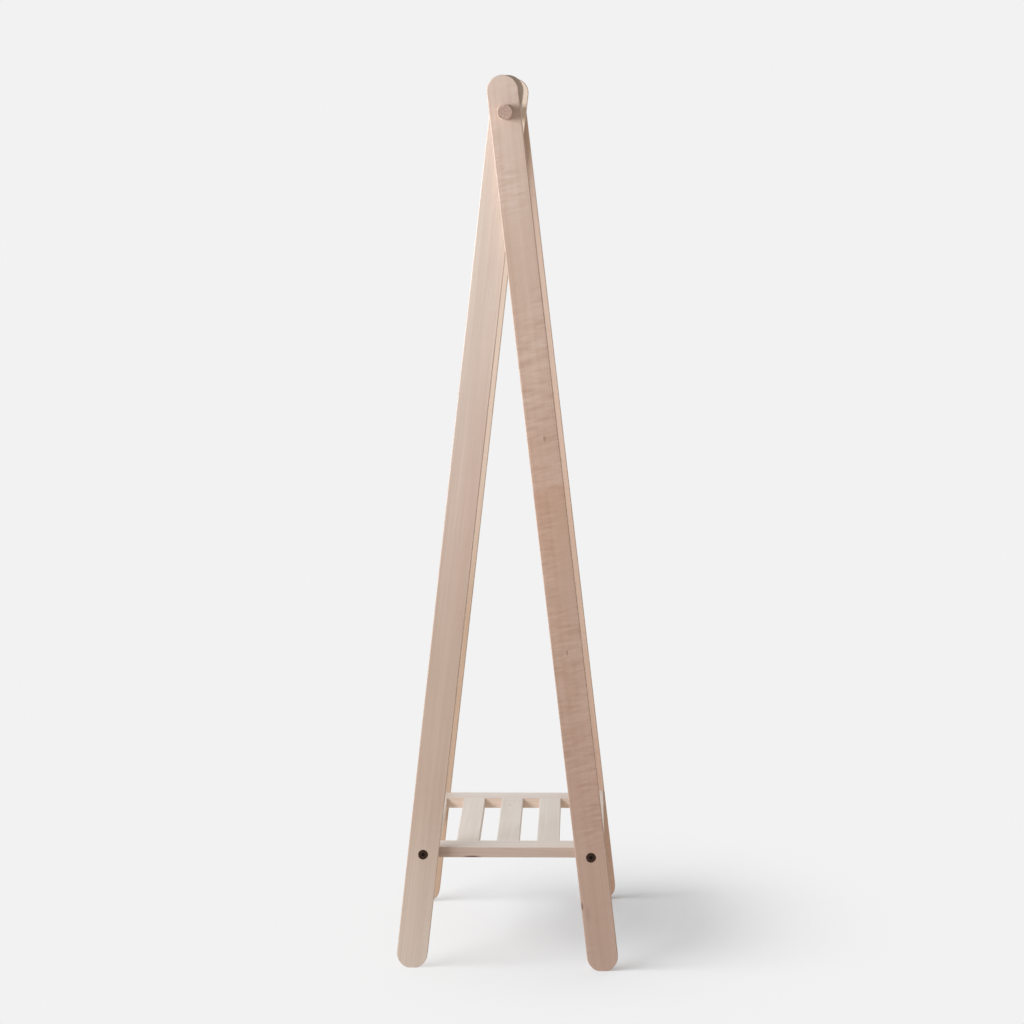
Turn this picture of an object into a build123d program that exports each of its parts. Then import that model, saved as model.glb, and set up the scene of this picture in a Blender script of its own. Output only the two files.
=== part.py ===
from build123d import *
import os
from math import hypot, radians, tan

# A-frame clothes rack with a slatted shoe shelf, in millimetres.
# Frame: origin on the floor under the middle of the rack, +X across the spread
# of the legs, +Y along the hanging rail, +Z up. "Near" is -Y, "far" is +Y,
# "left" is -X and "right" is +X at shelf height. The legs cross at the hanging
# rail, so their tops lean over to the other side.

# ---------------------------------------------------------------- dimensions
HEIGHT = 1500.0          # floor to the top of the legs
LENGTH = 540.0           # outer face to outer face of the outer legs

LEAN = 6.5               # lean of every leg from the vertical, degrees
LEG_W = 52.0             # leg section, across
LEG_T = 20.0             # leg section, along the rack
LEG_ROUND = 1.5          # rounding of the leg edges
FOOT_CUT = 1.2           # depth of the flat on the round foot
FOOT_CUTTER_H = 10.0     # height of the block that cuts the flat

RAIL_Z = 1439.0          # height of the hanging rail's axis
RAIL_D = 25.0            # hanging rail diameter
RAIL_BORE = 25.1         # running bore for it in each leg
RAIL_OUT = 20.0          # rail standing out of each outer leg
RAIL_CHAMFER = 0.8

SHELF_Z = 204.0          # top of the shelf
BOARD_T = 18.0           # thickness of the shelf boards
CROSS_W = 52.0           # cross rail width, along the rack
SIDE_W = 46.0            # side rail width, across
SLAT_W = 38.0            # slat width
SLAT_PITCH = 68.7        # slat spacing, centre to centre
EDGE = 1.6               # rounding of the shelf's outer edges
SLAT_EDGE = 1.2          # rounding of the slats' long edges
TENON_W = 26.0           # slat tenon, across
TENON_T = 6.0            # slat tenon, thickness
TENON_L = 12.0           # slat tenon, length

BOLT_HEAD_D = 16.0       # connector bolt head
BOLT_HEAD_T = 3.0
BOLT_HEAD_ROUND = 1.0    # rounding of the head's outer rim
BOLT_SINK_D = 17.0       # counterbore in the leg
BOLT_SINK = 4.0
BOLT_D = 6.0             # M6 shank, drawn at its outside diameter
BOLT_L = 45.0            # shank under the head
BOLT_TIP_CHAMFER = 0.8
BOLT_HOLE = 6.5          # clearance hole in the wood
BOLT_HOLE_PAST_NUT = 12.0  # clearance hole beyond the barrel nut's centre
HEX_AF = 4.0             # hexagon socket, across flats
HEX_DEEP = 2.0
NUT_D = 10.0             # barrel nut
NUT_L = 14.0
NUT_BACK = 22.0          # barrel nut centre from the end of the side rail
NUT_BORE = 6.1           # tapped hole, drawn as its clearance over the bolt
NUT_SLOT_W = 1.4         # screwdriver slot in the barrel nut's lower end
NUT_SLOT_DEEP = 1.5

PIN_D = 8.0              # wooden joint pins at the shelf corners
PIN_SIDE = 15.0          # depth in the side rail
PIN_CROSS = 20.0         # depth in the cross rail
PIN_EDGE = 13.0          # pin axis from the cross rail's long edges
PIN_CHAMFER = 0.8

# ------------------------------------------------------------ derived layout
# Leg centre line, from the centre of the round foot to that of the round top.
SLOPE = tan(radians(LEAN))
Z_TOP = HEIGHT - LEG_W / 2
Z_FOOT = LEG_W / 2 - FOOT_CUT
X_TOP = -SLOPE * (Z_TOP - RAIL_Z)
X_FOOT = SLOPE * (RAIL_Z - Z_FOOT)
X_MID = (X_FOOT + X_TOP) / 2
Z_MID = (Z_FOOT + Z_TOP) / 2
SPAN = hypot(X_FOOT - X_TOP, Z_TOP - Z_FOOT)

# Distances from the middle of the rack, the same towards both ends.
Y_OUT = LENGTH / 2                           # outer face of the outer legs
Y_MEET = Y_OUT - LEG_T                       # plane where the two legs meet
Y_IN = Y_MEET - LEG_T                        # inner face of the inner legs
Y_CROSS = Y_IN - CROSS_W / 2                 # centre of the cross rails
Y_PIN_A = Y_IN - PIN_EDGE                    # outer joint pin
Y_PIN_B = Y_IN - CROSS_W + PIN_EDGE          # inner joint pin

SHELF_BOTTOM = SHELF_Z - BOARD_T
SHELF_MID = SHELF_Z - BOARD_T / 2            # mid-height of the boards, and bolts
X_BOLT = SLOPE * (RAIL_Z - SHELF_MID)        # centre of legs and side rails there
SIDE_IN = X_BOLT - SIDE_W / 2                # inner edge of the side rails
CROSS_L = 2 * SIDE_IN                        # cross rail length
SLAT_L = 2 * (Y_IN - CROSS_W)                # slat length between cross rails

# One row per side: name, sign of X, and the distance from the middle to the
# leg's inner face, where the side rail ends. The outer pair of legs is right.
LEFT, RIGHT = -1, 1
SIDES = (
    ("right", RIGHT, Y_MEET),
    ("left", LEFT, Y_IN),
)


# -------------------------------------------------------------------- output
def save(part, name):
    part.label = name
    export_step(part, f"parts/{name}.step")


def mirrored(part, plane):
    with BuildPart() as copy:
        mirror(part, about=plane)
    return copy.part


def save_near_and_far(near, name):
    """Save a near piece and its mirror image at the far end."""
    save(near, f"{name}_near")
    save(mirrored(near, Plane.XZ), f"{name}_far")


# -------------------------------------------------------------------- pieces
# Plane.XZ faces -Y: a positive offset or extrusion on it goes to the near end.
def make_leg(side, y_leg):
    """Near leg: a flat board with round ends, bored for the rail and a bolt."""
    outer_plane = Plane.XZ.offset(y_leg + LEG_T)
    with BuildPart() as leg:
        with BuildSketch(Plane.XZ.offset(y_leg)):
            with Locations((side * X_MID, Z_MID)):
                SlotCenterToCenter(SPAN, LEG_W, rotation=90 + side * LEAN)
        extrude(amount=LEG_T)
        broad_faces = leg.faces().filter_by(Axis.Y)
        fillet(broad_faces.edges(), radius=LEG_ROUND)
        # Cut the foot flat at floor level.
        with BuildSketch(Plane.XY):
            with Locations((side * X_FOOT, -(y_leg + LEG_T / 2))):
                Rectangle(3 * LEG_W, 3 * LEG_T)
        extrude(amount=-FOOT_CUTTER_H, mode=Mode.SUBTRACT)
        with BuildSketch(outer_plane):
            with Locations((0, RAIL_Z)):
                Circle(RAIL_BORE / 2)
            with Locations((side * X_BOLT, SHELF_MID)):
                Circle(BOLT_HOLE / 2)
        extrude(amount=-LEG_T, mode=Mode.SUBTRACT)
        with BuildSketch(outer_plane):
            with Locations((side * X_BOLT, SHELF_MID)):
                Circle(BOLT_SINK_D / 2)
        extrude(amount=-BOLT_SINK, mode=Mode.SUBTRACT)
    return leg.part


def make_hanging_rail():
    """One rod through all four legs, free to turn in their bores."""
    y_end = Y_OUT + RAIL_OUT
    with BuildPart() as rail:
        with BuildSketch(Plane.XZ.offset(-y_end)):
            with Locations((0, RAIL_Z)):
                Circle(RAIL_D / 2)
        extrude(amount=2 * y_end)
        chamfer(rail.edges().filter_by(GeomType.CIRCLE), length=RAIL_CHAMFER)
    return rail.part


def make_side_rail(side, y_leg):
    """Flat board along the rack, between the inner faces of its two legs."""
    y_nut = y_leg - NUT_BACK
    with BuildPart() as rail:
        with BuildSketch(Plane.XY.offset(SHELF_BOTTOM)):
            with Locations((side * X_BOLT, 0)):
                Rectangle(SIDE_W, 2 * y_leg)
        extrude(amount=BOARD_T)
        outer = rail.faces().sort_by(Axis.X)[-1 if side == RIGHT else 0]
        fillet(outer.edges().filter_by(Axis.Y), radius=EDGE)
        # Bolt hole along the grain, near end and then far end.
        for end in (1, -1):
            with BuildSketch(Plane.XZ.offset(end * y_leg)):
                with Locations((side * X_BOLT, SHELF_MID)):
                    Circle(BOLT_HOLE / 2)
            extrude(amount=-end * (NUT_BACK + BOLT_HOLE_PAST_NUT), mode=Mode.SUBTRACT)
        # Barrel nut holes, blind from below.
        with BuildSketch(Plane.XY.offset(SHELF_BOTTOM)):
            with Locations((side * X_BOLT, -y_nut), (side * X_BOLT, y_nut)):
                Circle(NUT_D / 2)
        extrude(amount=BOARD_T / 2 + NUT_L / 2, mode=Mode.SUBTRACT)
        # Joint pin holes in the inner edge.
        with BuildSketch(Plane.YZ.offset(side * SIDE_IN)):
            with Locations((-Y_PIN_A, SHELF_MID), (-Y_PIN_B, SHELF_MID),
                           (Y_PIN_B, SHELF_MID), (Y_PIN_A, SHELF_MID)):
                Circle(PIN_D / 2)
        extrude(amount=side * PIN_SIDE, mode=Mode.SUBTRACT)
    return rail.part


def make_cross_rail():
    """Near board between the side rails, pinned at its ends, mortised inside."""
    with BuildPart() as rail:
        with BuildSketch(Plane.XY.offset(SHELF_BOTTOM)):
            with Locations((0, -Y_CROSS)):
                Rectangle(CROSS_L, CROSS_W)
        extrude(amount=BOARD_T)
        outer = rail.faces().sort_by(Axis.Y)[0]
        fillet(outer.edges().filter_by(Axis.X), radius=EDGE)
        for side in (LEFT, RIGHT):
            with BuildSketch(Plane.YZ.offset(side * SIDE_IN)):
                with Locations((-Y_PIN_A, SHELF_MID), (-Y_PIN_B, SHELF_MID)):
                    Circle(PIN_D / 2)
            extrude(amount=-side * PIN_CROSS, mode=Mode.SUBTRACT)
        # Mortises for the slats.
        with BuildSketch(Plane.XZ.offset(SLAT_L / 2)):
            with Locations((-SLAT_PITCH, SHELF_MID), (0, SHELF_MID), (SLAT_PITCH, SHELF_MID)):
                Rectangle(TENON_W, TENON_T)
        extrude(amount=TENON_L, mode=Mode.SUBTRACT)
    return rail.part


def make_slat(x):
    """Slat centred on x, with a tenon at each end."""
    with BuildPart() as slat:
        with BuildSketch(Plane.XY.offset(SHELF_BOTTOM)):
            with Locations((x, 0)):
                Rectangle(SLAT_W, SLAT_L)
        extrude(amount=BOARD_T)
        fillet(slat.edges().filter_by(Axis.Y), radius=SLAT_EDGE)
        # One thin bar right through makes both tenons.
        with BuildSketch(Plane.XY.offset(SHELF_MID - TENON_T / 2)):
            with Locations((x, 0)):
                Rectangle(TENON_W, SLAT_L + 2 * TENON_L)
        extrude(amount=TENON_T)
    return slat.part


def make_bolt(side, y_leg):
    """Near connector bolt: flat round head, sunk in the leg, with a hexagon socket."""
    seat = y_leg + LEG_T - BOLT_SINK
    with BuildPart() as bolt:
        with BuildSketch(Plane.XZ.offset(seat)):
            with Locations((side * X_BOLT, SHELF_MID)):
                Circle(BOLT_HEAD_D / 2)
        extrude(amount=BOLT_HEAD_T)
        rim = bolt.faces().sort_by(Axis.Y)[0]
        fillet(rim.edges(), radius=BOLT_HEAD_ROUND)
        with BuildSketch(Plane.XZ.offset(seat)):
            with Locations((side * X_BOLT, SHELF_MID)):
                Circle(BOLT_D / 2)
        extrude(amount=-BOLT_L)
        tip = bolt.faces().sort_by(Axis.Y)[-1]
        chamfer(tip.edges(), length=BOLT_TIP_CHAMFER)
        with BuildSketch(Plane.XZ.offset(seat + BOLT_HEAD_T)):
            with Locations((side * X_BOLT, SHELF_MID)):
                RegularPolygon(HEX_AF / 2, 6, major_radius=False)
        extrude(amount=-HEX_DEEP, mode=Mode.SUBTRACT)
    return bolt.part


def make_barrel_nut(side, y_leg):
    """Near barrel nut: upright cylinder, cross-bored and slotted underneath."""
    y_nut = y_leg - NUT_BACK
    with BuildPart() as nut:
        with BuildSketch(Plane.XY.offset(SHELF_MID - NUT_L / 2)):
            with Locations((side * X_BOLT, -y_nut)):
                Circle(NUT_D / 2)
        extrude(amount=NUT_L)
        with BuildSketch(Plane.XZ.offset(y_nut - NUT_D)):
            with Locations((side * X_BOLT, SHELF_MID)):
                Circle(NUT_BORE / 2)
        extrude(amount=2 * NUT_D, mode=Mode.SUBTRACT)
        with BuildSketch(Plane.XY.offset(SHELF_MID - NUT_L / 2)):
            with Locations((side * X_BOLT, -y_nut)):
                Rectangle(NUT_SLOT_W, 2 * NUT_D)
        extrude(amount=NUT_SLOT_DEEP, mode=Mode.SUBTRACT)
    return nut.part


def make_joint_pins():
    """The two glued pins of the right near shelf corner, as one piece."""
    with BuildPart() as pins:
        with BuildSketch(Plane.YZ.offset(SIDE_IN - PIN_CROSS)):
            with Locations((-Y_PIN_A, SHELF_MID), (-Y_PIN_B, SHELF_MID)):
                Circle(PIN_D / 2)
        extrude(amount=PIN_CROSS + PIN_SIDE)
        chamfer(pins.edges().filter_by(GeomType.CIRCLE), length=PIN_CHAMFER)
    return pins.part


# --------------------------------------------------------------------- build
os.makedirs("parts", exist_ok=True)

for side_name, side, y_leg in SIDES:
    save_near_and_far(make_leg(side, y_leg), f"leg_{side_name}")
    save(make_side_rail(side, y_leg), f"side_rail_{side_name}")
    save_near_and_far(make_bolt(side, y_leg), f"bolt_{side_name}")
    save_near_and_far(make_barrel_nut(side, y_leg), f"barrel_nut_{side_name}")

save(make_hanging_rail(), "hanging_rail")
save_near_and_far(make_cross_rail(), "cross_rail")

for slat_name, x in (("left", -SLAT_PITCH), ("middle", 0), ("right", SLAT_PITCH)):
    save(make_slat(x), f"slat_{slat_name}")

pins_right = make_joint_pins()
save_near_and_far(pins_right, "joint_pins_right")
save_near_and_far(mirrored(pins_right, Plane.YZ), "joint_pins_left")
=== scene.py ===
"""Wooden hanging rack: four leaning legs, a hanging rail along y and a slatted shelf
on cross rails, joined by pins, connector bolts and barrel nuts.

It stands on z = 0. Right is +x and far is +y; the camera looks from the near side (-y).
"""
import bmesh
import bpy
import math
from mathutils import Matrix, Vector


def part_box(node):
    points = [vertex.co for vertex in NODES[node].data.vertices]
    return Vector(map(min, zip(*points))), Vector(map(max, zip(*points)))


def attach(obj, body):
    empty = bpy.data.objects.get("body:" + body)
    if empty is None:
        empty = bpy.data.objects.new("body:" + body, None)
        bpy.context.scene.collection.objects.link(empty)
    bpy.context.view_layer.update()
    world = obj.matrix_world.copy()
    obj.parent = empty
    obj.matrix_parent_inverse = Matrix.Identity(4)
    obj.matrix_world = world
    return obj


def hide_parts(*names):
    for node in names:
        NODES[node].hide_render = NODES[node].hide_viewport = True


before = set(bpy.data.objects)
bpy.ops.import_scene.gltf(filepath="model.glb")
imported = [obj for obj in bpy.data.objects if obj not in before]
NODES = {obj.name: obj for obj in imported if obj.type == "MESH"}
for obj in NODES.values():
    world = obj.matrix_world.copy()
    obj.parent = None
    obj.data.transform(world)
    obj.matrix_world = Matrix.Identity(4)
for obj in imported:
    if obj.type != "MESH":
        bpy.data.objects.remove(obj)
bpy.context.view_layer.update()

CORNERS = ("right_near", "left_near", "left_far", "right_far")


# ---------------------------------------------------------- shader helpers
class Value:
    """A node output. Each sum, product or method adds one node to its tree."""

    def __init__(self, tree, socket):
        self.tree = tree
        self.socket = socket

    def __add__(self, other):
        return self.tree.math("ADD", self, other)

    def __radd__(self, other):
        return self.tree.math("ADD", other, self)

    def __sub__(self, other):
        return self.tree.math("SUBTRACT", self, other)

    def __rsub__(self, other):
        return self.tree.math("SUBTRACT", other, self)

    def __mul__(self, other):
        return self.tree.math("MULTIPLY", self, other)

    def __truediv__(self, other):
        return self.tree.math("DIVIDE", self, other)

    def __rtruediv__(self, other):
        return self.tree.math("DIVIDE", other, self)

    def __abs__(self):
        return self.tree.math("ABSOLUTE", self)

    def scale_add(self, factor, offset):
        return self.tree.math("MULTIPLY_ADD", self, factor, offset)

    def centred(self, span, middle=0.0):
        """Spread 0..1 over a span around the middle."""
        return self.scale_add(span, middle - span / 2)

    def clamped(self):
        """Clamp the node that made this value to 0..1; adds no node."""
        self.socket.node.use_clamp = True
        return self

    def remap(self, over, to=(0.0, 1.0), smooth=False):
        """Carry the range `over` to the range `to`, held at both ends."""
        return self.tree.value(
            "ShaderNodeMapRange",
            {"Value": self, "From Min": over[0], "From Max": over[1],
             "To Min": to[0], "To Max": to[1]},
            output="Result", clamp=True,
            interpolation_type="SMOOTHSTEP" if smooth else "LINEAR")


class Tree:
    """Builds a shader tree; most methods add one node and return its output."""

    def __init__(self, owner):
        owner.use_nodes = True
        self.tree = owner.node_tree
        self.tree.nodes.clear()
        self.count = 0

    def node(self, kind, inputs=None, **props):
        node = self.tree.nodes.new(kind)
        node.location = (200 * (self.count % 12), -220 * (self.count // 12))
        self.count += 1
        for key, setting in props.items():
            setattr(node, key, setting)
        for key, setting in (inputs or {}).items():
            if isinstance(setting, Value):
                self.tree.links.new(setting.socket, node.inputs[key])
            else:
                node.inputs[key].default_value = setting
        return node

    def value(self, kind, inputs=None, output=0, **props):
        return Value(self, self.node(kind, inputs, **props).outputs[output])

    def math(self, operation, *terms):
        return self.value("ShaderNodeMath", dict(enumerate(terms)), operation=operation)

    def vector(self, operation, *terms):
        return self.value("ShaderNodeVectorMath", dict(enumerate(terms)),
                          output="Vector", operation=operation)

    def dot(self, first, second):
        return self.value("ShaderNodeVectorMath", {0: first, 1: second},
                          output="Value", operation="DOT_PRODUCT")

    def combine(self, x, y, z):
        return self.value("ShaderNodeCombineXYZ", {0: x, 1: y, 2: z})

    def separate(self, vector):
        outputs = self.node("ShaderNodeSeparateXYZ", {0: vector}).outputs
        return [Value(self, socket) for socket in outputs]

    def noise(self, vector, scale=1.0, detail=2.0, rough=0.5, distort=0.0):
        return self.value(
            "ShaderNodeTexNoise",
            {"Vector": vector, "Scale": scale, "Detail": detail,
             "Roughness": rough, "Distortion": distort},
            output="Fac", noise_dimensions="3D")

    def voronoi(self, vector):
        return self.value("ShaderNodeTexVoronoi",
                          {"Vector": vector, "Scale": 1.0, "Randomness": 1.0},
                          output="Distance", voronoi_dimensions="3D", feature="F1")

    def mix(self, factor, first, second, blend="MIX"):
        return self.value("ShaderNodeMix", {0: factor, 6: first, 7: second}, output=2,
                          data_type="RGBA", blend_type=blend, clamp_factor=True)

    def tint(self, colour, peak, tint):
        """Multiply by peak x tint, where the tint itself stays within 0..1."""
        scaled = self.value("ShaderNodeVectorMath", {0: colour, "Scale": peak},
                            output="Vector", operation="SCALE")
        return self.mix(1.0, scaled, tint, "MULTIPLY")

    def ramp(self, factor, stops):
        """Colour ramp through (position, colour or grey level) stops."""
        node = self.node("ShaderNodeValToRGB", {0: factor})
        elements = node.color_ramp.elements
        while len(elements) < len(stops):
            elements.new(0.5)
        for element, (position, colour) in zip(elements, stops):
            element.position = position
            element.color = rgba(colour if isinstance(colour, tuple) else (colour,) * 3)
        return Value(self, node.outputs[0])

    def bump(self, height, strength, distance, normal=None):
        inputs = {"Strength": strength, "Distance": distance, "Height": height}
        if normal is not None:
            inputs["Normal"] = normal
        return self.value("ShaderNodeBump", inputs)

    def camera_switch(self, unseen, seen):
        """One shader for light bouncing about, another for the camera."""
        camera_ray = self.value("ShaderNodeLightPath", output="Is Camera Ray")
        return self.value("ShaderNodeMixShader", {0: camera_ray, 1: unseen, 2: seen})

    def finish(self, shader, kind="ShaderNodeOutputMaterial"):
        self.node(kind, {"Surface": shader})


def srgb(*levels):
    """Linear colour from 8-bit display values."""
    def linear(level):
        level /= 255.0
        return level / 12.92 if level <= 0.04045 else ((level + 0.055) / 1.055) ** 2.4
    return tuple(linear(level) for level in levels)


def rgba(colour, factor=1.0):
    return (*(level * factor for level in colour), 1.0)


def dress(piece, material):
    materials = NODES[piece].data.materials
    materials.clear()
    materials.append(material)


def middle(piece):
    low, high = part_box(piece)
    return (low + high) / 2


# ------------------------------------------------------------------- wood
# a piece's directions: across the face, through the thickness, along the grain
GRAIN_Y = ((1, 0, 0), (0, 0, 1), (0, 1, 0))
GRAIN_X = ((0, 1, 0), (0, 0, 1), (1, 0, 0))

EASED = (0.0034, 0.0006)        # where an eased edge starts and is full, in from the side
NO_EDGES = (0.05, 0.05)         # half sizes wide enough that no eased edge shows


def annual_rings(tree, x, y, field, fine, ring, pith, wave, seed):
    """Ring pattern around the pith, bent slowly along the board, and a tone per ring."""
    bend = 3.0 * wave
    bend_x = field(across=9.0, along=1.7, shift=1.0, rough=0.45)
    bend_y = field(across=11.0, along=2.3, shift=2.3, rough=0.45)
    from_x = x + bend_x.scale_add(2 * bend, -bend - pith[0])
    from_y = y + bend_y.scale_add(2 * bend, -bend - pith[1])
    radius = tree.math("SQRT", from_x * from_x + from_y * from_y)
    radius = radius + fine.centred(span=0.0016)
    phase = radius / ring
    # earlywood darkens slowly to a narrow latewood line, then drops back
    rings = tree.ramp(tree.math("FRACT", phase),
                      [(0.0, 0.10), (0.55, 0.28), (0.86, 0.85), (0.94, 1.0), (1.0, 0.10)])
    random = tree.value("ShaderNodeTexWhiteNoise",
                        {"W": tree.math("FLOOR", phase) + seed * 17.0},
                        output="Value", noise_dimensions="1D")
    return rings, random.centred(span=0.5)


def spots(tree, position, fine, marks):
    """Mask of the dark spots, or None. A spot is 2.6 times as long as it is wide."""
    x, y, z = position
    mask = None
    for across, along, radius, strength, *height in marks:
        off_x = (x - across) / radius
        off_z = (z - along) / (radius * 2.6)
        square = off_x * off_x + off_z * off_z
        if height:
            off_y = (y - height[0]) / (radius * 0.55)
            square = square + off_y * off_y
        distance = tree.math("SQRT", square) + fine.centred(span=0.5)
        spot = distance.remap(over=(0.35, 1.15), to=(1, 0), smooth=True) * strength
        mask = spot if mask is None else tree.math("MAXIMUM", mask, spot)
    return mask


def end_grain(tree, place, rings, mid, dark):
    """Colour of the end grain, rosier and darker than the face, and its pores."""
    pores = tree.voronoi(tree.vector("MULTIPLY", place, (2600.0, 2600.0, 500.0)))
    pores = pores.remap(over=(0.20, 0.42), to=(1, 0))
    speck = tree.noise(tree.vector("MULTIPLY", place, (1500.0, 1500.0, 300.0)),
                       detail=3.0, rough=0.65)
    tone = (rings * 0.35 + speck.scale_add(factor=1.1, offset=-0.25)).clamped()
    blotch = tree.noise(tree.vector("MULTIPLY", place, (330.0, 330.0, 160.0)),
                        detail=3.0, rough=0.65)
    tone = (tone + blotch.scale_add(factor=2.6, offset=-1.25)).clamped()
    rosy = (0.97, 0.955, 0.965)
    pale_end, dark_end = ([level * pink for level, pink in zip(colour, rosy)]
                          for colour in (mid, dark))
    colour = tree.mix(tone, rgba(pale_end, factor=0.94), rgba(dark_end, factor=0.66))
    return tree.mix(pores * 0.35, colour, rgba(dark, factor=0.45)), pores


def dress_wood(piece, axes, half, shades, seed, ring, pith, wave=0.006, curl=0.0,
               streak=1.0, marks=(), tones=None, sheen=0.0, hue=1.0, narrow=None):
    """Pale diffuse-porous timber.

    axes: the piece's directions; half: its half width and half thickness
    shades: light, mid and dark, as display values
    ring, pith, wave: ring width, place of the pith from the middle, wander of the rings
    curl, streak, hue, sheen: strength of cross figure, streaks, rosy patches and polish
    marks: dark spots (across, along, radius, strength[, height through the thickness])
    tones: drift of colour along the board, (position, multiplier) pairs; partly the board's own
    colour, partly painted light and shade along it
    narrow: colour multiplier for the narrow edges, painted light and shade on them
    """
    light, mid, dark = (srgb(*shade) for shade in shades)
    material = bpy.data.materials.new("wood_" + piece)
    tree = Tree(material)
    coords = tree.value("ShaderNodeTexCoord", output="Object")
    offset = tree.vector("SUBTRACT", coords, tuple(middle(piece)))
    x, y, z = (tree.dot(offset, axis) for axis in axes)
    place = tree.combine(x, y, z)
    shift_x, shift_y, shift_z = seed * 1.37 + 0.4, seed * 0.83 + 1.1, seed * 2.11 + 0.7

    def stretch(vector, across, along, start):
        scaled = tree.vector("MULTIPLY", vector, (across, across, along))
        return tree.vector("ADD", scaled, start)

    def field(across, along, shift, **look):
        """Noise with its own frequency across and along the grain."""
        start = (shift_x * shift, shift_y * shift + 3.1 * shift, shift_z * shift)
        return tree.noise(stretch(place, across, along, start), **look)

    fine = field(across=55.0, along=9.0, shift=3.1)
    rings, ring_tone = annual_rings(tree, x, y, field, fine, ring, pith, wave, seed)

    # fibres, streaks and slow colour drift along the board
    fibre = field(across=1300.0, along=26.0, shift=1.0, detail=3.0, rough=0.6)
    streaks = field(across=150.0, along=3.4, shift=1.9, detail=3.0, rough=0.55)
    broad = field(across=34.0, along=1.5, shift=2.7)
    cloud = field(across=13.0, along=5.0, shift=4.3)

    # cross figure: rippled bands, slightly tilted, that come and go in patches
    tilted = tree.combine(x, y, x.scale_add(-0.12, z))

    def band(across, along, shift, **look):
        start = (shift_x * shift, shift_z * shift, shift_y * shift)
        return tree.noise(stretch(tilted, across, along, start), **look)

    coarse_band = band(across=22.0, along=105.0, shift=5.1, distort=0.5)
    fine_band = band(across=40.0, along=210.0, shift=6.7, detail=1.5, distort=0.3)
    ripple = coarse_band.centred(span=1.5) + fine_band.centred(span=1.3)
    ripple = ripple * field(across=14.0, along=7.0, shift=7.9, detail=1.0).remap(
        over=(0.38, 0.60), to=(0.15, 1.0), smooth=True)

    # short dark flecks, in groups
    flecks = tree.voronoi(stretch(place, 420.0, 36.0, (shift_z, shift_x, shift_y)))
    flecks = flecks.remap(over=(0.10, 0.20), to=(1, 0)) * field(
        across=24.0, along=9.0, shift=8.3, detail=1.0).remap(over=(0.50, 0.66))

    # the numbers are how far each pattern moves the tone from light to dark
    tone = (rings.scale_add(0.30, 0.30) + ring_tone * 0.30
            + fibre.centred(0.34) + streaks.centred(0.8 * streak)
            + broad.centred(0.7) + cloud.centred(0.5)
            + ripple * (0.70 * curl)).clamped()
    colour = tree.ramp(tone, [(0.0, light), (0.5, mid), (1.0, dark)])
    # patches of rosier and creamier heartwood
    warm = field(across=22.0, along=1.2, shift=12.3, detail=1.0)
    warm = warm.scale_add(factor=2.4, offset=-0.7).clamped()
    colour = tree.mix(warm * (0.8 * hue), colour, rgba((1.02, 0.965, 0.955)), "MULTIPLY")
    # painted light in part: the drift along the board also carries light and shade
    if tones is not None:
        drift_at = x.scale_add(-0.22, z) + broad.centred(span=0.04)
        low, high = tones[0][0], tones[-1][0]
        peak = max(max(tint) for _, tint in tones)
        drift = tree.ramp(drift_at.remap(over=(low, high)),
                          [((along - low) / (high - low), tuple(level / peak for level in tint))
                           for along, tint in tones])
        colour = tree.tint(colour, peak, drift)
    colour = tree.mix(flecks * 0.35, colour, rgba((0.62, 0.52, 0.44)), "MULTIPLY")

    spot_mask = spots(tree, (x, y, z), fine, marks)
    if spot_mask is not None:
        colour = tree.mix(spot_mask, colour, rgba(srgb(112, 74, 56)))

    normal = tree.value("ShaderNodeNewGeometry", output="Normal")
    # painted light and shade: the narrow edges take their own colour multiplier
    if narrow is not None:
        side = abs(tree.dot(normal, axes[0]))
        peak = max(narrow)
        colour = tree.mix(side.remap(over=(0.45, 0.9), smooth=True), colour,
                          tree.tint(colour, peak, rgba([level / peak for level in narrow])))

    end = abs(tree.dot(normal, axes[2])).remap(over=(0.62, 0.93), smooth=True)
    end_colour, pores = end_grain(tree, place, rings, mid, dark)
    colour = tree.mix(end, colour, end_colour)

    # eased edges: the rounding is burnished, lighter and smoother, unevenly
    edge_x, edge_y = (abs(way).remap(over=(size - EASED[0], size - EASED[1]))
                      for way, size in zip((x, y), half))
    wear = field(across=90.0, along=22.0, shift=9.7, detail=3.0, rough=0.6)
    wear = wear.remap(over=(0.38, 0.66))
    edge = edge_x * edge_y * wear.scale_add(factor=0.7, offset=0.3)
    colour = tree.mix(edge * 0.16, colour, rgba(light))

    # handling: faint greyish smudges
    smudge = field(across=6.0, along=3.2, shift=10.9, detail=3.0, rough=0.6)
    smudge = smudge.remap(over=(0.55, 0.78))
    colour = tree.mix(smudge * 0.10, colour, rgba((0.80, 0.78, 0.76)), "MULTIPLY")

    # weights of each pattern in the roughness and in the relief
    roughness = (fibre.centred(span=0.14, middle=0.50) + rings * 0.05
                 - edge * 0.10 + end * 0.20 - smudge * 0.06).clamped()
    height = (fibre * 0.55 + streaks * 0.35 - rings * 0.22
              - flecks * 0.5 - pores * end * 0.9)
    relief = tree.bump(height, strength=0.35, distance=0.00022)
    if curl > 0:
        relief = tree.bump(ripple, strength=0.26 * curl, distance=0.0007, normal=relief)

    tree.finish(tree.value("ShaderNodeBsdfPrincipled", {
        "Base Color": colour, "Roughness": roughness, "Normal": relief, "IOR": 1.46,
        "Coat Weight": 0.10 + sheen, "Coat Roughness": 0.42,
        "Sheen Weight": 0.15 * sheen, "Sheen Roughness": 0.5}))
    dress(piece, material)


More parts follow.
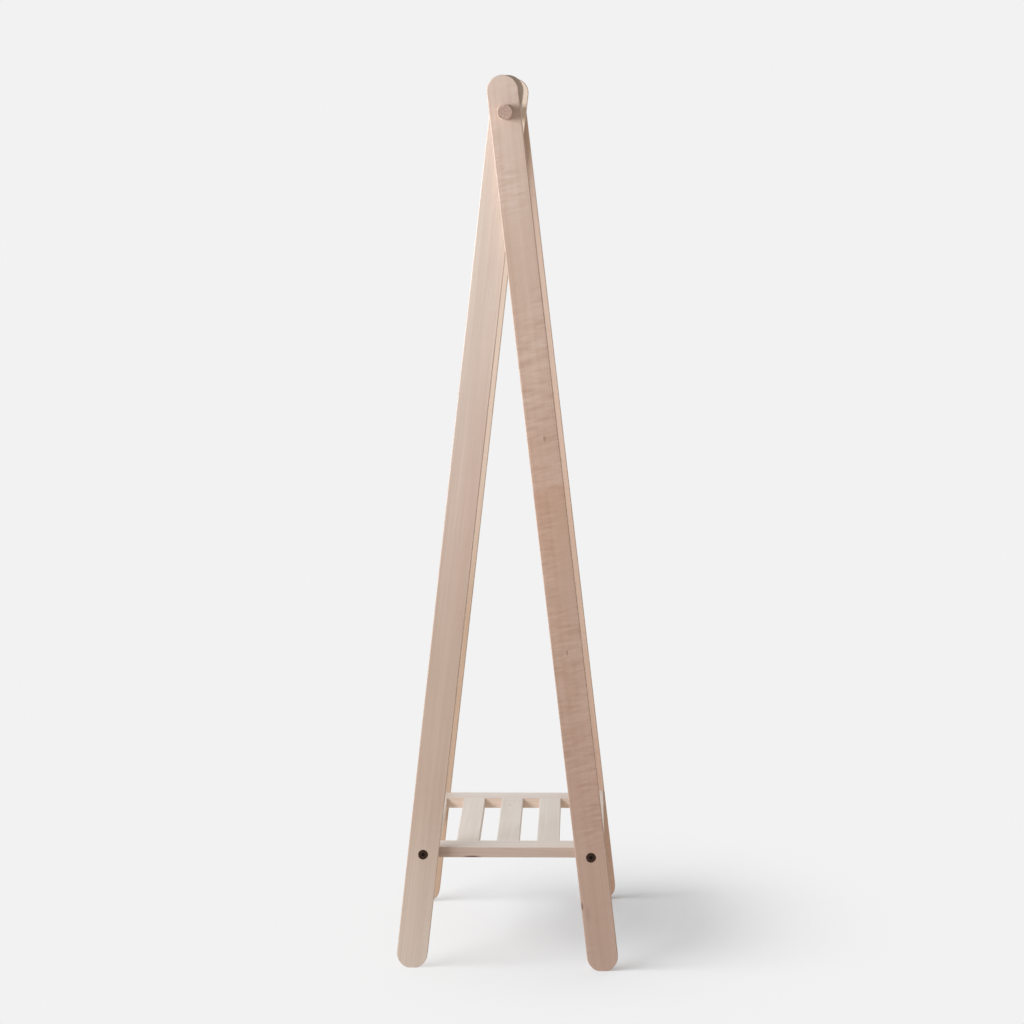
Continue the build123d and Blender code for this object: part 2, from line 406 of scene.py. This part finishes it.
# legs: the grain runs up the leaning board, and a right leg leans left going up
LEAN = math.radians(6.5)
LEG_HALF = (0.026, 0.010)
# the tones are partly each leg's own colour and partly painted light, paler and cooler where
# sheen falls
LEG_LOOKS = {
    "right_near": dict(
        seed=1.0, curl=1.15, ring=0.0031, pith=(0.11, 0.05), streak=0.40,
        shades=((214, 191, 176), (204, 178, 161), (190, 161, 144)),
        marks=((0.0031, 0.153, 0.0024, 0.42), (-0.0005, -0.208, 0.0023, 0.46),
               (-0.0250, -0.640, 0.0032, 0.66, -0.010),
               (-0.0160, -0.655, 0.0055, 0.14, -0.010)),
        # paler, cooler top is painted sheen; browner middle that starts at a clear line
        tones=((-0.75, (0.98, 1.01, 1.05)), (-0.45, (0.94, 0.90, 0.90)),
               (-0.08, (0.91, 0.875, 0.85)), (0.071, (0.875, 0.80, 0.745)),
               (0.077, (0.96, 0.95, 0.95)), (0.125, (0.91, 0.89, 0.87)),
               (0.30, (0.93, 0.95, 0.97)), (0.52, (0.93, 0.98, 1.00)),
               (0.75, (1.02, 1.13, 1.20)))),
    "right_far": dict(
        seed=2.0, curl=0.35, ring=0.0024, pith=(0.10, 0.04), streak=0.7,
        shades=((225, 203, 187), (215, 190, 173), (201, 173, 155)),
        tones=((-0.75, (0.96, 0.92, 0.89)), (0.0, (0.98, 0.96, 0.93)),
               (0.35, (1.0, 1.03, 1.05)), (0.75, (1.0, 1.0, 1.0)))),
    "left_near": dict(
        seed=3.0, curl=0.10, ring=0.0036, pith=(0.16, 0.03), streak=1.0,
        shades=((220, 201, 186), (210, 189, 174), (197, 174, 158)),
        # pale, cool foot and top, partly painted light from the floor's bounce and from sheen;
        # tan between
        tones=((-0.75, (1.19, 1.32, 1.40)), (-0.45, (0.97, 0.98, 0.98)),
               (-0.25, (0.88, 0.87, 0.86)), (0.08, (0.93, 0.95, 0.98)),
               (0.50, (1.01, 1.12, 1.18)))),
    "left_far": dict(
        seed=4.0, curl=0.15, ring=0.0020, pith=(0.12, 0.05), streak=0.9,
        shades=((224, 203, 184), (214, 190, 169), (200, 173, 151)),
        tones=((-0.75, (0.92, 0.87, 0.82)), (-0.24, (0.90, 0.86, 0.81)),
               (-0.06, (0.97, 1.01, 1.04)), (0.20, (1.05, 1.11, 1.17)),
               (0.75, (1.07, 1.17, 1.23)))),
}
for corner, look in LEG_LOOKS.items():
    lean_x = math.sin(LEAN) * (1 if "right" in corner else -1)
    lean_z = math.cos(LEAN)
    leg_axes = ((lean_z, 0, lean_x), (0, 1, 0), (-lean_x, 0, lean_z))
    dress_wood("leg_" + corner, leg_axes, LEG_HALF, **look)

dress_wood("hanging_rail", GRAIN_Y, NO_EDGES, seed=5.0, ring=0.0020, pith=(0.020, 0.024),
           shades=((220, 197, 181), (209, 183, 167), (194, 165, 149)),
           wave=0.003, streak=0.8)

# shelf boards
BOARD_HALF_THICK = 0.009
SIDE_HALF = (0.023, BOARD_HALF_THICK)
SLAT_HALF = (0.019, BOARD_HALF_THICK)
CROSS_HALF = (0.026, BOARD_HALF_THICK)
SHELF_SHADES = ((230, 223, 214), (221, 212, 201), (208, 195, 182))
CROSS_SHADES = ((233, 225, 216), (223, 213, 203), (206, 192, 180))
SHELF_SHEEN = 0.25

for i, side in enumerate(("right", "left")):
    dress_wood("side_rail_" + side, GRAIN_Y, SIDE_HALF, SHELF_SHADES, seed=6.0 + i,
               ring=0.0026, pith=(0.09, 0.03), curl=0.1, sheen=SHELF_SHEEN)

SLATS = (("left", 0.1, ()),     # name, curl, marks
         ("middle", 0.5, ((-0.004, 0.118, 0.004, 0.18),)),
         ("right", 0.2, ()))
for i, (side, curl, marks) in enumerate(SLATS):
    dress_wood("slat_" + side, GRAIN_Y, SLAT_HALF, SHELF_SHADES, seed=8.0 + i,
               ring=0.0022 + 0.0004 * i, pith=(0.09 + 0.02 * i, 0.02 + 0.01 * i),
               curl=curl, sheen=SHELF_SHEEN, hue=0.5, marks=marks)

# the spot on the near cross rail sits on its near bottom edge; the narrow multipliers are
# painted shade on the near rail's narrow edges and painted light on the far rail's
CROSS_RAILS = (("near", (0.85, 0.77, 0.74),     # name, narrow, marks
                ((-CROSS_HALF[0], -0.0594, 0.0068, 1.0, -CROSS_HALF[1]),)),
               ("far", (1.03, 0.95, 0.89), ()))
for i, (side, narrow, marks) in enumerate(CROSS_RAILS):
    dress_wood("cross_rail_" + side, GRAIN_X, CROSS_HALF, CROSS_SHADES, seed=11.0 + i,
               ring=0.0028, pith=(0.09, 0.05), curl=0.1, sheen=SHELF_SHEEN, hue=0.5,
               narrow=narrow, marks=marks)

for i, corner in enumerate(CORNERS):
    dress_wood("joint_pins_" + corner, GRAIN_X, NO_EDGES, seed=13.0 + i,
               ring=0.0012, pith=(0.05, 0.03),
               shades=((214, 184, 148), (198, 164, 126), (176, 140, 104)))


# ------------------------------------------------------------------ metals
HEAD_RADIUS = 0.008
SOCKET_EDGE = 0.0024            # radius that takes in the key socket


def bolt_marks(tree, coords, colour, blotch, base, worn, head):
    """Painted shade in the key socket, rubbing, and grease and shade in the thread's grooves,
    on a bolt whose head face has its centre at head.
    """
    x, y, z = tree.separate(coords)
    off_x, off_z = x - head[0], z - head[2]
    radius = tree.math("SQRT", off_x * off_x + off_z * off_z)
    depth = abs(y - head[1])
    # rubbed ring at the rim of the head, painted shade in the key socket
    rubbed = radius.remap(over=(HEAD_RADIUS - 0.0018, HEAD_RADIUS - 0.0004),
                          to=(0, 0.55), smooth=True) * blotch.remap(over=(0.25, 0.6))
    colour = tree.mix(rubbed, colour, rgba(worn))
    front = depth.remap(over=(0.0030, 0.0034), to=(1, 0))
    # painted shade: the key socket is coloured nearly black
    socket_shade = radius.remap(over=(SOCKET_EDGE, SOCKET_EDGE + 0.0005), to=(0.96, 0), smooth=True)
    colour = tree.mix(front * socket_shade, colour, rgba(base, factor=0.06))
    # grease and shade in the thread's grooves, crests rubbed by the nut
    on_thread = (depth.remap(over=(0.0185, 0.0195))
                 * depth.remap(over=(0.0472, 0.0476), to=(1, 0)))
    groove = radius.remap(over=(0.00245, 0.00275), to=(0.80, 0))
    colour = tree.mix(on_thread * groove, colour, rgba(base, factor=0.12))
    crest = radius.remap(over=(0.00283, 0.00294), to=(0, 0.60))
    return tree.mix(on_thread * crest, colour, rgba(worn, factor=1.15))


def metal(name, base, worn, seed, metallic, rough, wear, head=None):
    """Coated or plated fastener: mottled coating, worn rims and fine scratches."""
    base, worn = srgb(*base), srgb(*worn)
    material = bpy.data.materials.new(name)
    tree = Tree(material)
    coords = tree.value("ShaderNodeTexCoord", output="Object")
    place = tree.vector("ADD", coords, (seed * 0.31, seed * 0.17, seed * 0.23))
    blotch = tree.noise(place, scale=420.0, detail=4.0, rough=0.6)
    grit = tree.noise(place, scale=2600.0, detail=3.0, rough=0.7)
    scratch = tree.noise(tree.vector("MULTIPLY", place, (4200.0, 300.0, 900.0)))
    scratch = scratch.remap(over=(0.60, 0.68))

    # rims show where the bevelled normal turns away from the true one
    bevelled = tree.value("ShaderNodeBevel", {"Radius": 0.0006}, samples=6)
    normal = tree.value("ShaderNodeNewGeometry", output="Normal")
    sharp = 1.0 - tree.dot(bevelled, normal)
    rim = sharp.remap(over=(0.010, 0.10)) * blotch.remap(over=(0.35, 0.62))

    colour = tree.mix(blotch.remap(over=(0.3, 0.7)),
                      rgba(base, factor=0.85), rgba(base, factor=1.25))
    colour = tree.mix(rim * wear, colour, rgba(worn))
    colour = tree.mix(scratch * (wear * 0.4), colour, rgba(worn))
    if head is not None:
        colour = bolt_marks(tree, coords, colour, blotch, base, worn, head)
    roughness = (grit.centred(span=0.22, middle=rough) - rim * 0.12).clamped()
    relief = tree.bump(grit + scratch * -0.6, strength=0.25, distance=0.00004)
    tree.finish(tree.value("ShaderNodeBsdfPrincipled", {
        "Base Color": colour, "Roughness": roughness, "Normal": relief,
        "Metallic": metallic}))
    return material


# ------------------------------------------------------------------- bolts
SEGMENTS = 36                   # points round each ring
HEAD_FLAT = 0.0070              # radius of the flat face, inside the rounded rim
HEAD_THICK = 0.0030
RIM_STEPS = 6
SOCKET_HALF = 0.002             # half the hexagon's width across its flats
SOCKET_DEPTH = 0.0020
SOCKET_TIP = 0.0024             # depth of the socket's conical bottom
SOCKET_CHAMFER = 0.00022
NECK = 0.00288                  # radius of the plain neck
CREST, ROOT = 0.00295, 0.00241  # radii of the thread
PITCH = 0.001
RINGS_PER_TURN = 10
THREAD_START = 0.018            # depth from the face of the head
RUN_OUT = 1.3 * PITCH
TIP_LENGTH = 0.0011


def threaded_bolt(name, head, inward, length):
    """Flat-headed connector bolt along y, with a hexagon socket and a right-hand
    M6 thread with a run-out and a pointed tip. It runs inward (+1 or -1)."""
    angles = [2 * math.pi * k / SEGMENTS for k in range(SEGMENTS)]

    def circle(radius):
        return [radius] * SEGMENTS

    def hexagon(grow):
        return [SOCKET_HALF / math.cos(angle % (math.pi / 3) - math.pi / 6) + grow
                for angle in angles]

    def thread(depth):
        radii = []
        fade = min((depth - THREAD_START) / RUN_OUT, 1.0)
        tip = CREST - 0.85 * max(0.0, depth - (length - TIP_LENGTH))
        for angle in angles:
            turn = (depth / PITCH + inward * angle / (2 * math.pi)) % 1.0
            height = min(max((1.0 - abs(2.0 * turn - 1.0)) * 1.35 - 0.16, 0.0), 1.0)
            radius = ROOT + (CREST - ROOT) * height
            radii.append(min(NECK + (radius - NECK) * fade, tip))
        return radii

    # (depth, radii) from the socket's bottom, over the head and down the shank
    rings = [(SOCKET_DEPTH, hexagon(-0.00006)), (SOCKET_CHAMFER, hexagon(0.0)),
             (0.0, hexagon(SOCKET_CHAMFER)), (0.0, circle(0.0045)), (0.0, circle(HEAD_FLAT))]
    rim = HEAD_RADIUS - HEAD_FLAT
    for k in range(1, RIM_STEPS + 1):
        angle = k * math.pi / 2 / RIM_STEPS
        rings.append((rim * (1 - math.cos(angle)), circle(HEAD_FLAT + rim * math.sin(angle))))
    rings += [(0.00285, circle(HEAD_RADIUS)), (HEAD_THICK, circle(0.00785)),
              (HEAD_THICK, circle(0.0036)), (0.0031, circle(0.0031)),
              (0.0035, circle(NECK)), (0.0100, circle(NECK))]
    count = int(round((length - THREAD_START) / PITCH * RINGS_PER_TURN))
    for k in range(count + 1):
        depth = THREAD_START + (length - THREAD_START) * k / count
        rings.append((depth, thread(depth)))

    bm = bmesh.new()
    loops = [[bm.verts.new((head[0] + radius * math.cos(angle), head[1] + inward * depth,
                            head[2] + radius * math.sin(angle)))
              for radius, angle in zip(radii, angles)]
             for depth, radii in rings]
    for loop, after in zip(loops, loops[1:]):
        for k in range(SEGMENTS):
            following = (k + 1) % SEGMENTS
            bm.faces.new((loop[k], loop[following], after[following], after[k]))
    for loop, depth in ((loops[0], SOCKET_TIP), (loops[-1], length)):
        centre = bm.verts.new((head[0], head[1] + inward * depth, head[2]))
        for k in range(SEGMENTS):
            bm.faces.new((loop[k], loop[(k + 1) % SEGMENTS], centre))
    bmesh.ops.recalc_face_normals(bm, faces=bm.faces)
    mesh = bpy.data.meshes.new(name)
    bm.to_mesh(mesh)
    bm.free()
    mesh.polygons.foreach_set("use_smooth", [True] * len(mesh.polygons))
    mesh.set_sharp_from_angle(angle=math.radians(38))
    bolt = bpy.data.objects.new(name, mesh)
    bpy.context.scene.collection.objects.link(bolt)
    return bolt


bolts = []
for i, corner in enumerate(CORNERS):
    piece = "bolt_" + corner
    centre = middle(piece)
    low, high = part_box(piece)
    near = "near" in corner
    head = (centre.x, low.y if near else high.y, centre.z)
    bolt = threaded_bolt("threaded_" + piece, head, 1 if near else -1, high.y - low.y)
    bolt.data.materials.append(metal(
        "metal_" + piece, base=(60, 44, 38), worn=(128, 104, 90), seed=1.0 + i,
        metallic=0.60, rough=0.42, wear=0.35, head=head))
    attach(bolt, piece + "_body")
    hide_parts(piece)
    bolts.append(bolt)

for i, corner in enumerate(CORNERS):
    piece = "barrel_nut_" + corner
    dress(piece, metal("metal_" + piece, base=(176, 174, 168), worn=(210, 208, 202),
                       seed=7.0 + i, metallic=1.0, rough=0.32, wear=0.6))

# ------------------------------------------------------------------- floor
PALE = srgb(242, 242, 242)      # tone of the floor and backdrop as seen
FLOOR_ALBEDO = 0.80
FLOOR_BOUNCE = (0.64, 0.56, 0.49)   # floor tone as the rack sees it, warmed by the wood
SHADOW_MIDDLE = (0.148, 0.084)      # x and y of the oval patch that takes a shadow
SHADOW_HALF = (0.262, 0.460)
SHADOW_SOFTNESS = 0.43
# painted shade: the floor is coloured darker and cooler in the middle of the patch, against
# light thrown down by the wood
PATCH_RIM = (0.993, 1.0, 1.015)
PATCH_SHADE_CORE = (0.896, 0.94, 0.99)


def floor_paper():
    """Lit paper inside the shadow patch, coloured darker and cooler in its middle as painted
    shade, plain pale tone outside it.
    """
    material = bpy.data.materials.new("floor_paper")
    tree = Tree(material)
    x, y, _ = tree.separate(tree.value("ShaderNodeTexCoord", output="Object"))
    off_x, off_y = ((way - centre) / half
                    for way, centre, half in zip((x, y), SHADOW_MIDDLE, SHADOW_HALF))
    reach = tree.math("SQRT", off_x * off_x + off_y * off_y)
    # soft shoulder: full in the middle of the patch, gone well outside it
    patch = 1.0 / (1.0 + tree.math("EXPONENT", (reach - 1.0) / SHADOW_SOFTNESS))
    patch = patch.remap(over=(0.06, 0.86))
    paper = tree.value("ShaderNodeBsdfDiffuse", {"Color": tree.mix(
        patch, rgba(PATCH_RIM, FLOOR_ALBEDO), rgba(PATCH_SHADE_CORE, FLOOR_ALBEDO))})
    plain = tree.value("ShaderNodeEmission", {"Color": rgba(PALE)})
    bounce = tree.value("ShaderNodeEmission", {"Color": rgba(FLOOR_BOUNCE)})
    seen = tree.value("ShaderNodeMixShader", {0: patch, 1: plain, 2: paper})
    tree.finish(tree.camera_switch(unseen=bounce, seen=seen))
    return material


bpy.ops.mesh.primitive_plane_add(size=400.0, location=(0, 0, 0))
floor = bpy.context.object
floor.name = "floor"
floor.data.materials.append(floor_paper())


# ------------------------------------------------------------ surroundings
def studio_world():
    """Bright backdrop behind the rack, dimmer and warmer in front, a little more
    from the left. Seen directly, it has the floor's own tone."""
    world = bpy.data.worlds.new("studio")
    bpy.context.scene.world = world
    tree = Tree(world)
    x, y, _ = tree.separate(tree.value("ShaderNodeTexCoord", output="Generated"))
    behind = y.remap(over=(-0.05, 0.75), to=(0, 0.50), smooth=True)
    left = x.remap(over=(-0.9, 0.9), to=(0.07, -0.07), smooth=True)
    strength = behind + left + 0.33
    colour = tree.mix(behind * 2.0, (1.06, 0.975, 0.90, 1), (1, 1, 1, 1))
    fill = tree.value("ShaderNodeBackground", {"Color": colour, "Strength": strength})
    seen = tree.value("ShaderNodeBackground", {"Color": rgba(PALE)})
    tree.finish(tree.camera_switch(unseen=fill, seen=seen), "ShaderNodeOutputWorld")


studio_world()

# ------------------------------------------------------------------ lights
# The key is a large softbox on the left, at the height of the hanging rail. The rack
# sees it as a near area lamp that falls off towards the floor; the floor sees it as a
# broad even source with a brighter middle.
KEY_PLACE = Vector((-1.69, -0.975, 1.50))
KEY_TARGET = Vector((0, 0, 1.40))
SUN_ELEVATION = math.radians(11.5)
FLOOR_SKY = 0.473               # light the floor gets from the surroundings
FLOOR_SUN = 0.256               # share of the broad source's light the open floor gets
CORE_SHARE = 0.15               # share of the key that comes from its bright middle
# name, share of the light, what the open floor gets of it, azimuth, angular size
FLOOR_SOURCES = (
    ("far_softbox", 1.0 - CORE_SHARE, FLOOR_SUN, 27, 71),
    ("far_softbox_core", CORE_SHARE, math.sin(SUN_ELEVATION), 11, 24),
)


def receivers(name, objects):
    collection = bpy.data.collections.new(name)
    for member in objects:
        collection.objects.link(member)
    return collection


def add_light(name, kind, direction, lit, **settings):
    lamp = bpy.data.lights.new(name, kind)
    for key, setting in settings.items():
        setattr(lamp, key, setting)
    light = bpy.data.objects.new(name, lamp)
    bpy.context.scene.collection.objects.link(light)
    light.rotation_mode = "QUATERNION"
    light.rotation_quaternion = direction.to_track_quat("-Z", "Y")
    light.light_linking.receiver_collection = lit
    return light


rack_lit = receivers("lit_by_softbox", [*NODES.values(), *bolts])
floor_lit = receivers("lit_by_far_softbox", [floor])

softbox = add_light("softbox", "AREA", KEY_TARGET - KEY_PLACE, rack_lit, shape="RECTANGLE",
                    size=1.9, size_y=0.8, energy=52.0, color=(0.97, 1.0, 1.045))
softbox.location = KEY_PLACE

# what brings the open floor up to the pale tone
floor_need = PALE[0] / FLOOR_ALBEDO - FLOOR_SKY
for name, share, received, azimuth, size in FLOOR_SOURCES:
    azimuth = math.radians(azimuth)
    direction = Vector((math.cos(SUN_ELEVATION) * math.cos(azimuth),
                        math.cos(SUN_ELEVATION) * math.sin(azimuth),
                        -math.sin(SUN_ELEVATION)))
    add_light(name, "SUN", direction, floor_lit, angle=math.radians(size),
              energy=share * floor_need * math.pi / received)

# ------------------------------------------------------------------ camera
CAMERA_PLACE = (0.13158, -5.75425, 1.43136)
YAW, PITCH_DOWN, ROLL = 0.02214, 0.11818, -0.00216     # radians; yaw turns to the left
SENSOR_MM = 36.0
LENS_MM = 116.96765625

forward = Vector((-math.sin(YAW) * math.cos(PITCH_DOWN),
                  math.cos(YAW) * math.cos(PITCH_DOWN), -math.sin(PITCH_DOWN)))
right = Vector((math.cos(YAW), math.sin(YAW), 0))
up = right.cross(forward)
cos_roll, sin_roll = math.cos(ROLL), math.sin(ROLL)
right, up = cos_roll * right + sin_roll * up, cos_roll * up - sin_roll * right

camera_data = bpy.data.cameras.new("camera")
camera_data.sensor_width = SENSOR_MM
camera_data.lens = LENS_MM
camera_data.clip_start = 0.1
camera_data.clip_end = 500.0
camera = bpy.data.objects.new("camera", camera_data)
bpy.context.scene.collection.objects.link(camera)
rotation = Matrix((right, up, -forward)).transposed()
camera.matrix_world = Matrix.Translation(CAMERA_PLACE) @ rotation.to_4x4()
bpy.context.scene.camera = camera

bpy.context.scene.view_settings.view_transform = "Standard"
bpy.context.scene.view_settings.look = "None"

bpy.context.view_layer.update()
